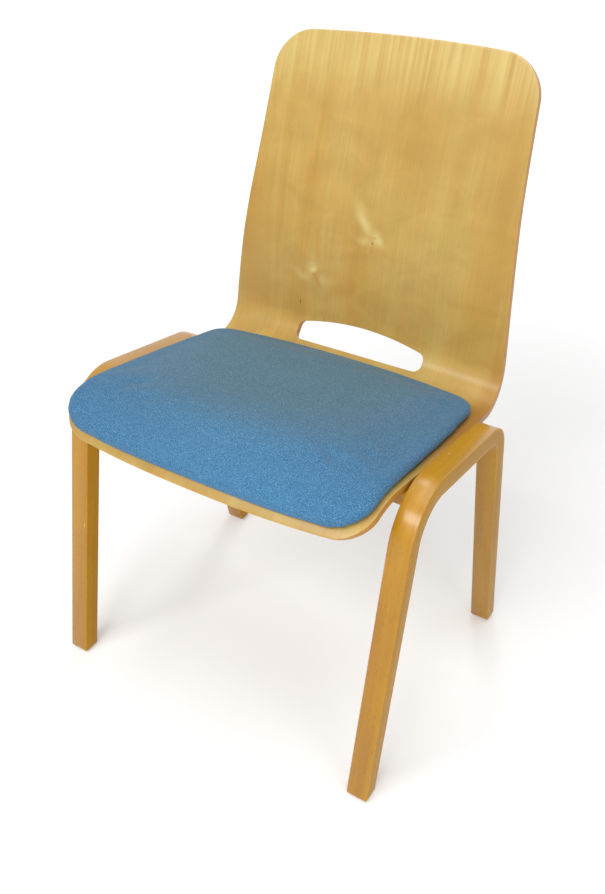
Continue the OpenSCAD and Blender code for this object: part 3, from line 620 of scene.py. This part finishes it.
def swell_pad(piece, seat):
    """Lets the cover swell as cloth under light pressure, held where it lies on the seat."""
    scene = bpy.context.scene
    even = piece.modifiers.new("even_faces", "REMESH")
    even.mode = "VOXEL"
    even.voxel_size = SWELL_VOXEL
    fix_modifiers(piece)
    under = BVHTree.FromPolygons([v.co for v in seat.data.vertices],
                                 [p.vertices for p in seat.data.polygons])
    start = [v.co.copy() for v in piece.data.vertices]
    facing = [v.normal.copy() for v in piece.data.vertices]
    held = piece.vertex_groups.new(name="held")
    low = [i for i, place in enumerate(start) if under.find_nearest(place)[3] < 0.5 * PAD_T]
    held.add(low, 1.0, "REPLACE")
    cloth = piece.modifiers.new("cover_cloth", "CLOTH")
    cloth.settings.quality = COVER_QUALITY
    cloth.settings.mass = COVER_MASS
    cloth.settings.use_pressure = True
    cloth.settings.uniform_pressure_force = SWELL_PRESSURE
    cloth.settings.effector_weights.gravity = 0
    cloth.settings.vertex_group_mass = "held"
    cloth.point_cache.frame_start = 1
    cloth.point_cache.frame_end = SWELL_FRAMES
    for number in range(1, SWELL_FRAMES + 1):
        scene.frame_set(number)
    fix_modifiers(piece)
    scene.frame_set(1)
    # the cover only swells outward, and no further than its stretch lets it
    for v, place, out in zip(piece.data.vertices, start, facing):
        rise = max(0.0, (v.co - place).dot(out))
        v.co = place + out * (math.tanh(rise / SWELL_MOST) * SWELL_MOST)
    piece.vertex_groups.clear()
    finer = piece.modifiers.new("smooth_cover", "SUBSURF")
    finer.levels = finer.render_levels = 1
    piece.data.shade_smooth()


def fix_modifiers(piece):
    """Writes what a piece's modifiers show into its mesh, and takes them off."""
    shown = piece.evaluated_get(bpy.context.evaluated_depsgraph_get())
    done = bpy.data.meshes.new_from_object(shown)
    piece.modifiers.clear()
    piece.data = done


# ---------------------------------------------------------------- finishes

def tint(red, green, blue):
    """A screen colour, 0 to 255, as the light it stands for."""
    def one(c):
        c /= 255
        return c / 12.92 if c <= 0.04045 else ((c + 0.055) / 1.055) ** 2.4
    return (one(red), one(green), one(blue), 1)


def grey(value):
    return (value, value, value, 1)


WHITE = (1, 1, 1, 1)


class Finish:
    """One material, with short ways to add and join its nodes."""

    def __init__(self, name):
        self.material = bpy.data.materials.new(name)
        self.material.use_nodes = True
        self.tree = self.material.node_tree
        self.shader = self.tree.nodes["Principled BSDF"]

    def feed(self, socket, value):
        """Joins a socket to another, or sets it to a plain value."""
        if isinstance(value, bpy.types.NodeSocket):
            self.tree.links.new(value, socket)
        else:
            socket.default_value = value

    def add(self, kind, inputs=None, **settings):
        """Adds a node, sets it and feeds its inputs."""
        node = self.tree.nodes.new("ShaderNode" + kind)
        for key, value in settings.items():
            setattr(node, key, value)
        for key, value in (inputs or {}).items():
            self.feed(node.inputs[key], value)
        return node

    def join(self, source, key):
        """Gives one of the shader's sockets its pattern."""
        self.tree.links.new(source, self.shader.inputs[key])

    def settle(self, **values):
        """Sets the shader's even values, each on its own socket."""
        for key, value in values.items():
            self.shader.inputs[key.replace("_", " ")].default_value = value

    def stretched(self, place, scale, offset=(0, 0, 0)):
        """Places scaled for a pattern, so that its grain is long where the scale is small."""
        inputs = {"Vector": place, "Location": offset, "Scale": scale}
        return self.add("Mapping", inputs).outputs["Vector"]

    def vectors(self, operation, a, b):
        """Arithmetic on two vectors, as a node."""
        return self.add("VectorMath", {0: a, 1: b}, operation=operation).outputs["Vector"]

    def length(self, a):
        return self.add("VectorMath", {0: a}, operation="LENGTH").outputs["Value"]

    def noise(self, place, scale=1.0, detail=2.0, roughness=0.5, distortion=0.0):
        """A soft random pattern over some places, from 0 to 1."""
        return self.add("TexNoise", {"Vector": place, "Scale": scale, "Detail": detail,
                                     "Roughness": roughness, "Distortion": distortion}).outputs["Fac"]

    def ramp(self, value, stops):
        """Colours over a pattern, from (place, colour) stops."""
        node = self.add("ValToRGB", {"Fac": value})
        ramp = node.color_ramp
        while len(ramp.elements) < len(stops):
            ramp.elements.new(0.5)
        for element, (at, colour) in zip(ramp.elements, stops):
            element.position = at
            element.color = colour
        return node.outputs["Color"]

    def mixed(self, blend, amount, a, b):
        """Colour b laid into colour a by an amount."""
        node = self.add("Mix", data_type="RGBA", blend_type=blend)
        for key, kind, value in (("Factor", "VALUE", amount), ("A", "RGBA", a), ("B", "RGBA", b)):
            self.feed([s for s in node.inputs if s.name == key and s.type == kind][0], value)
        return [s for s in node.outputs if s.type == "RGBA"][0]

    def shaded(self, blend, amount, tone, pattern, *stops):
        """Blends a ramp over a pattern into a tone."""
        return self.mixed(blend, amount, tone, self.ramp(pattern, stops))

    def sums(self, operation, a, b):
        """Arithmetic on two numbers, as a node."""
        return self.add("Math", {0: a, 1: b}, operation=operation).outputs[0]

    def times(self, a, b):
        return self.sums("MULTIPLY", a, b)

    def bump(self, height, strength, distance):
        """Fine relief for the shader, from a pattern."""
        node = self.add("Bump", {"Height": height, "Strength": strength, "Distance": distance})
        self.join(node.outputs["Normal"], "Normal")

    def eased(self, value, low, high, first=0.0, last=1.0):
        """A smooth step: first below low, last above high."""
        inputs = {"Value": value, "From Min": low, "From Max": high, "To Min": first, "To Max": last}
        return self.add("MapRange", inputs, interpolation_type="SMOOTHSTEP").outputs["Result"]

    def blot(self, place, centre, size, turn=0.0, core=0.1):
        """A soft oval patch: 1 in its middle, 0 past its edge; the turn leans its long side over."""
        away = self.vectors("SUBTRACT", place, centre)
        turned = self.add("VectorRotate", {"Vector": away, "Angle": math.radians(turn)},
                          rotation_type="Z_AXIS").outputs["Vector"]
        far = self.length(self.vectors("MULTIPLY", turned, (1 / size[0], 1 / size[1], 0)))
        return self.eased(far, core, 1.0, 1.0, 0.0)

    def sheet_blot(self, place, centre, size, turn, core):
        """A blot on a flat sheet, its middle and size in millimetres."""
        middle = (centre[0] * MM, centre[1] * MM, 0)
        return self.blot(place, middle, (size[0] * MM, size[1] * MM), turn, core)


KNOTS = [(6 * MM, 588 * MM), (-89 * MM, 523 * MM)]
# middle and size in millimetres on the flat sheet, turn in degrees, and how strongly it shows
PALE_FLARES = [
    ((-13, 612), (17, 52), -33, 0.75), ((13, 590), (14, 23), -25, 0.85),
    ((-10, 583), (24, 9), 18, 0.45), ((-89, 524), (9, 10), 0, 0.95),
    ((-90, 530), (22, 26), 15, 0.45), ((-108, 516), (30, 13), 18, 0.4),
    ((-70, 512), (34, 16), -20, 0.34),
]
# the same, with a colour: hearts of the knots, small marks, then broad patches of painted shade on the
# back's two sides, across the upper back and along the seat's edge beside the pad
MARKS_AND_PAINTED_SHADE = [
    ((3, 583), (2.8, 2.8), 0, 0.8, (138, 92, 38)), ((6, 591), (4, 2.6), 0, 0.4, (150, 112, 56)),
    ((4, 572), (5, 10), 0, 0.4, (176, 128, 56)), ((-82, 509), (6, 18), -30, 0.5, (176, 124, 52)),
    ((-88, 518), (5, 3), 0, 0.4, (172, 126, 60)), ((-109, 470), (1.3, 6), 0, 0.95, (112, 84, 34)),
    ((-65, 452), (0.9, 5), 0, 0.8, (140, 100, 46)), ((-20, 556), (3, 9), 0, 0.3, (172, 126, 58)),
    ((-205, 550), (75, 190), 0, 0.42, (166, 122, 48)), ((70, 745), (200, 95), 0, 0.3, (168, 128, 58)),
    ((215, 620), (85, 330), 0, 0.3, (164, 124, 54)), ((230, 320), (46, 190), 0, 0.85, (156, 108, 44)),
]


PLY_LAYER, BEECH_LAYER = 1.5 * MM, 1.25 * MM


def lacquered_birch():
    """Birch veneer under thin satin lacquer: grain along the sheet, two pin knots, layered rim, and
    broad patches of painted shade on the front face.
    """
    f = Finish("lacquered_birch")
    place = f.add("Attribute", attribute_name="sheet").outputs["Vector"]
    # the fibres part round each knot
    flow = place
    for knot in KNOTS:
        near = f.blot(place, (*knot, 0), (26 * MM, 60 * MM))
        side = f.vectors("MULTIPLY", f.vectors("SUBTRACT", place, (*knot, 0)), (-0.75, 0, 0))
        push = f.add("VectorMath", {0: side, "Scale": near}, operation="SCALE").outputs["Vector"]
        flow = f.vectors("ADD", flow, push)
    fibres = f.noise(f.stretched(flow, (560, 8, 0)), detail=5, roughness=0.62)
    streaks = f.noise(f.stretched(flow, (150, 3, 0), (2, 9, 0)),
                      detail=3, roughness=0.6, distortion=0.3)
    growth = f.noise(f.stretched(flow, (26, 1.6, 0)), detail=3, roughness=0.5, distortion=0.7)
    shimmer = f.noise(f.stretched(place, (20, 26, 0), (3, 7, 0)), detail=2, distortion=0.5)
    cloud = f.noise(f.stretched(place, (6, 4, 0), (11, 2, 0)), detail=2)
    warm = f.noise(f.stretched(place, (8, 5, 0), (4, 8, 0)), detail=3, roughness=0.6)
    lines = f.noise(f.stretched(flow, (250, 7, 0), (1, 3, 0)), detail=2, roughness=0.5, distortion=0.8)
    pores = f.noise(f.stretched(flow, (1200, 60, 0), (5, 5, 0)), detail=1)
    tone = f.ramp(growth, [(0.28, tint(171, 135, 61)), (0.5, tint(177, 145, 73)),
                           (0.72, tint(184, 157, 88))])
    # orange, greenish and pinkish bands, and wavy growth lines
    for pattern, low, high, most, colour in (
            (warm, 0.46, 0.68, 0.42, (184, 138, 60)), (cloud, 0.46, 0.68, 0.52, (180, 157, 88)),
            (streaks, 0.42, 0.70, 0.30, (188, 144, 80)), (lines, 0.48, 0.64, 0.24, (184, 130, 74))):
        tone = f.mixed("MIX", f.eased(pattern, low, high, 0.0, most), tone, tint(*colour))
    tone = f.shaded("OVERLAY", 0.24, tone, fibres, (0.3, grey(0.36)), (0.7, grey(0.62)))
    tone = f.shaded("SOFT_LIGHT", 0.30, tone, shimmer, (0.34, grey(0.34)), (0.66, grey(0.66)))
    tone = f.shaded("MULTIPLY", 0.2, tone, pores, (0.27, tint(176, 124, 62)), (0.36, WHITE))
    # hazy light streaks near the back's top edge
    parts = f.add("SeparateXYZ", {"Vector": place}).outputs
    high = f.eased(parts["Y"], 0.745, 0.84)
    haze = f.noise(f.stretched(flow, (120, 2.2, 0), (8, 3, 0)), detail=3, roughness=0.6, distortion=0.4)
    tone = f.mixed("MIX", f.times(high, f.eased(haze, 0.3, 0.72, 0.1, 0.85)), tone, tint(199, 177, 108))
    # figure round the knots, on the front face only: slanting flares, and over them the dark marks and
    # the patches of painted shade
    depth = parts["Z"]
    front = f.eased(depth, 7 * MM, 9 * MM)
    stir = f.add("TexNoise", {"Vector": f.stretched(place, (36, 26, 0), (1, 4, 0)),
                              "Scale": 1.0, "Detail": 3.0}).outputs["Color"]
    stir = f.vectors("MULTIPLY", f.vectors("SUBTRACT", stir, (0.5, 0.5, 0.5)), (20 * MM, 24 * MM, 0))
    stirred = f.vectors("ADD", place, stir)
    for centre, size, turn, amount in PALE_FLARES:
        patch = f.sums("POWER", f.sheet_blot(stirred, centre, size, turn, 0.0), 1.5)
        tone = f.mixed("MIX", f.times(patch, f.times(front, amount)), tone, tint(206, 186, 122))
    # the last four entries are broad painted shade, laid in like the marks
    for centre, size, turn, amount, dark in MARKS_AND_PAINTED_SHADE:
        patch = f.sheet_blot(place, centre, size, turn, 0.2)
        tone = f.mixed("MIX", f.times(patch, f.times(front, amount)), tone, tint(*dark))
    # the rim shows the layers of the plywood
    inside = f.times(f.eased(depth, 0.3 * MM, 0.6 * MM), f.eased(depth, 9.7 * MM, 10.1 * MM, 1.0, 0.0))
    layer = f.sums("PINGPONG", f.sums("DIVIDE", depth, PLY_LAYER), 1.0)
    edge_grain = f.noise(f.stretched(place, (260, 260, 0)), detail=3)
    rim = f.ramp(layer, [(0.2, tint(176, 118, 48)), (0.8, tint(196, 144, 66))])
    rim = f.shaded("OVERLAY", 0.4, rim, edge_grain, (0.3, grey(0.35)), (0.7, grey(0.6)))
    tone = f.mixed("MIX", inside, tone, rim)
    f.join(tone, "Base Color")
    f.join(f.ramp(fibres, [(0.2, grey(0.40)), (0.8, grey(0.52))]), "Roughness")
    f.settle(Specular_IOR_Level=0.14, Coat_Weight=0.36, Coat_Roughness=0.28)
    f.bump(fibres, 0.25, 0.2 * MM)
    return f.material


def beech_laminate(name, coat):
    """Bent beech laminate under lacquer: fine grain along the frame, faint layers on its sides."""
    f = Finish(name)
    place = f.add("Attribute", attribute_name="laid").outputs["Vector"]
    fibres = f.noise(f.stretched(place, (480, 9, 480)), detail=5, roughness=0.62)
    growth = f.noise(f.stretched(place, (42, 2.2, 110)), detail=3, distortion=0.6)
    cloud = f.noise(f.stretched(place, (9, 9, 9), (4, 1, 2)), detail=2)
    flecks = f.noise(f.stretched(place, (700, 130, 700), (7, 3, 1)), detail=1)
    tone = f.ramp(growth, [(0.28, tint(168, 116, 0)), (0.5, tint(177, 127, 1)),
                           (0.74, tint(186, 137, 4))])
    tone = f.shaded("OVERLAY", 0.28, tone, fibres, (0.3, grey(0.36)), (0.7, grey(0.62)))
    tone = f.shaded("SOFT_LIGHT", 0.25, tone, cloud, (0.35, grey(0.38)), (0.65, grey(0.62)))
    tone = f.shaded("MULTIPLY", 0.3, tone, flecks, (0.27, tint(150, 98, 40)), (0.38, WHITE))
    depth = f.add("SeparateXYZ", {"Vector": place}).outputs["Z"]
    layer = f.sums("PINGPONG", f.sums("DIVIDE", depth, BEECH_LAYER), 1.0)
    tone = f.shaded("MULTIPLY", 0.16, tone, layer, (0.0, tint(140, 86, 34)), (0.16, WHITE))
    # small pale nicks
    nick = f.add("TexVoronoi", {"Vector": f.stretched(place, (60, 14, 60), (3, 5, 8)),
                                "Scale": 1.0, "Randomness": 1.0}).outputs["Distance"]
    tone = f.mixed("MIX", f.eased(nick, 0.035, 0.06, 0.6, 0.0), tone, tint(226, 190, 126))
    f.join(tone, "Base Color")
    f.join(f.ramp(fibres, [(0.2, grey(0.36)), (0.8, grey(0.48))]), "Roughness")
    f.settle(Specular_IOR_Level=0.1, Coat_Weight=coat, Coat_Roughness=0.27)
    f.bump(fibres, 0.2, 0.2 * MM)
    return f.material


def blue_crepe():
    """Blue wool crepe: pebbled yarn with pale flecks and dark gaps, greyer where it is sat on."""
    f = Finish("blue_crepe")
    place = f.add("TexCoord").outputs["Object"]
    yarn = f.noise(place, scale=820, detail=2, roughness=0.7)
    coarse = f.noise(place, scale=190, detail=2, roughness=0.6)
    pebble = f.add("TexVoronoi", {"Vector": place, "Scale": 520.0}).outputs["Distance"]
    cloud = f.noise(place, scale=9, detail=2)
    fleck = f.noise(f.stretched(place, (1, 1, 1), (4, 7, 2)), scale=760, detail=1)
    tone = f.ramp(yarn, [(0.30, tint(31, 76, 111)), (0.5, tint(53, 102, 138)),
                         (0.70, tint(87, 134, 166))])
    worn = f.blot(place, (-0.02, 0.02, 0), (0.31, 0.30), 0, 0.35)
    tone = f.shaded("MIX", f.times(worn, 0.66), tone, yarn,
                    (0.30, tint(47, 80, 90)), (0.5, tint(67, 101, 112)), (0.70, tint(99, 130, 138)))
    tone = f.shaded("OVERLAY", 0.22, tone, coarse, (0.35, grey(0.4)), (0.65, grey(0.6)))
    tone = f.shaded("SOFT_LIGHT", 0.2, tone, cloud, (0.3, grey(0.4)), (0.7, grey(0.6)))
    tone = f.mixed("MIX", f.eased(fleck, 0.64, 0.74, 0.0, 0.32), tone, tint(176, 204, 220))
    tone = f.mixed("MIX", f.eased(fleck, 0.27, 0.35, 0.36, 0.0), tone, tint(30, 58, 84))
    # bluer along the front, greyer along the rear
    front = f.blot(place, (0.06, -0.24, 0), (0.30, 0.16))
    tone = f.shaded("MIX", f.times(front, 0.35), tone, yarn,
                    (0.30, tint(32, 84, 124)), (0.70, tint(94, 150, 190)))
    rear = f.blot(place, (0, 0.17, 0), (0.30, 0.14))
    tone = f.shaded("MIX", f.times(rear, 0.4), tone, yarn,
                    (0.30, tint(38, 66, 74)), (0.70, tint(86, 114, 122)))
    f.join(tone, "Base Color")
    f.settle(Roughness=0.95, Specular_IOR_Level=0.15, Sheen_Weight=0.12, Sheen_Roughness=0.6)
    f.bump(f.sums("ADD", f.times(yarn, 0.7), f.times(pebble, -0.7)), 0.6, 0.7 * MM)
    return f.material


def plain(name, colour, roughness, metallic=0.0):
    """A small part's finish, with fine unevenness in its colour and gloss."""
    f = Finish(name)
    speck = f.noise(f.add("TexCoord").outputs["Object"], scale=300, detail=3)
    low = tuple(c * 0.85 for c in colour[:3]) + (1,)
    f.join(f.ramp(speck, [(0.3, low), (0.7, colour)]), "Base Color")
    glossy, matt = grey(roughness * 0.85), grey(min(roughness * 1.15, 1))
    f.join(f.ramp(speck, [(0.2, glossy), (0.8, matt)]), "Roughness")
    f.settle(Metallic=metallic)
    f.bump(speck, 0.15, 0.2 * MM)
    return f.material


# ---------------------------------------------------------------- floor and light

FLOOR_HALF = 12
ROOM_LIGHT = 0.34
# name, place, aim, size and watts
LAMPS = [
    ("key", (0.9, -2.8, 1.5), (0, 0, 0.4), (1.6, 1.8), 20),
    ("front", (-0.3, -2.2, 2.3), (0, 0, 0.4), (2.2, 0.8), 54),
    ("top", (0.3, 0.0, 3.0), (0, 0, 0.5), (2.0, 2.0), 30),
    ("ceiling", (-0.7, 1.2, 2.9), (0, 0, 0.45), (0.5, 0.5), 6),
    ("fill", (2.4, -1.4, 0.9), (0, 0, 0.3), (1.2, 1.2), 15),
    ("window", (-1.0, 2.5, 1.5), (0, 0, 0.45), (0.5, 0.5), 4),
    ("backdrop", (-0.7, 3.2, 1.6), (0, 0, 0.4), (2.4, 1.2), 9),
]


def shown_ray(tree):
    """1 for a ray that shows the background: the camera's own, or one by way of a gloss or a glass."""
    path = tree.nodes.new("ShaderNodeLightPath")
    share = path.outputs["Is Camera Ray"]
    for way in ("Is Glossy Ray", "Is Transmission Ray"):
        both = tree.nodes.new("ShaderNodeMath")
        both.operation = "MAXIMUM"
        tree.links.new(share, both.inputs[0])
        tree.links.new(path.outputs[way], both.inputs[1])
        share = both.outputs[0]
    return share


def lay_floor():
    """A sheet of pale paper that looks white from afar and still takes the chair's shadow."""
    bm = bmesh.new()
    bmesh.ops.create_grid(bm, x_segments=1, y_segments=1, size=FLOOR_HALF)
    floor = new_piece("studio_floor", bm)
    f = Finish("floor_paper")
    f.settle(Base_Color=grey(0.82), Roughness=0.95, Specular_IOR_Level=0.1, Emission_Color=WHITE)
    far = f.length(f.add("TexCoord").outputs["Object"])
    f.join(f.times(shown_ray(f.tree), f.eased(far, 0.5, 3.6, 0.17, 0.75)), "Emission Strength")
    floor.data.materials.append(f.material)


def hang_lamp(name, place, aim, size, power):
    """Hangs a soft rectangular lamp that the camera doesn't see."""
    light = bpy.data.lights.new(name, "AREA")
    light.shape = "RECTANGLE"
    light.size, light.size_y = size
    light.energy = power
    lamp = bpy.data.objects.new(name, light)
    bpy.context.scene.collection.objects.link(lamp)
    lamp.visible_camera = False
    lamp.location = place
    lamp.rotation_euler = (Vector(aim) - Vector(place)).to_track_quat("-Z", "Y").to_euler()


def light_studio():
    """A room that looks white and lights the chair more dimly, and soft lamps round the chair."""
    world = bpy.data.worlds.new("studio")
    world.use_nodes = True
    tree = world.node_tree
    room = tree.nodes["Background"].inputs
    room["Color"].default_value = WHITE
    share = tree.nodes.new("ShaderNodeMapRange")
    share.inputs["To Min"].default_value = ROOM_LIGHT
    tree.links.new(shown_ray(tree), share.inputs["Value"])
    tree.links.new(share.outputs["Result"], room["Strength"])
    bpy.context.scene.world = world
    for lamp in LAMPS:
        hang_lamp(*lamp)


# ---------------------------------------------------------------- the chair

bpy.context.scene.view_settings.view_transform = "Standard"
stand_camera()
birch = lacquered_birch()
beech = beech_laminate("beech_laminate", 0.9)
cut_sides = beech_laminate("beech_cut_sides", 0.12)
crepe = blue_crepe()
steel = plain("zinc_steel", tint(176, 178, 180), 0.35, metallic=1.0)
rubber = plain("black_rubber", tint(38, 38, 40), 0.8)
plastic = plain("glide_plastic", tint(30, 30, 32), 0.5)
raw_wood = plain("raw_wood", tint(205, 175, 125), 0.7)

shell = mould_shell()
shell.data.materials.append(birch)
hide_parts("seat_back_shell")

for name, side, node in (("bent_frame_left", 1, "left_side_frame"),
                         ("bent_frame_right", -1, "right_side_frame")):
    made = bend_side_frame(name, side)
    made.data.materials.append(beech)
    made.data.materials.append(cut_sides)
    for face in made.data.polygons:
        face.material_index = 1 if abs(face.normal.x) > CUT_SIDE_FACING else 0
    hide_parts(node)
    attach(made, "root")

for name, behind, node in (("cross_rail_front", FRONT_CROSS, "front_cross_rail"),
                           ("cross_rail_rear", REAR_CROSS, "rear_cross_rail")):
    made = plane_cross_rail(name, behind)
    made.data.materials.append(beech)
    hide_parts(node)
    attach(made, "root")

pad = fold_pad(SOFT_CROWN, SOFT_SPREAD)
swell_pad(pad, shell)
pad.data.materials.clear()
pad.data.materials.append(crepe)
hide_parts("pad_cover", "pad_foam")
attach(shell, "root")
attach(pad, "root")

small_parts = {
    "shell_bolts": steel, "shell_washers": steel, "shell_nuts": steel,
    "pad_screws": steel, "pad_nuts": steel, "glide_pins": steel,
    "shell_spacers": rubber, "foot_glides": plastic,
    "front_rail_dowels": raw_wood, "rear_rail_dowels": raw_wood, "pad_board": raw_wood,
}
for node, finish in small_parts.items():
    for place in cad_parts[node].material_slots:
        place.material = finish

lay_floor()
light_studio()
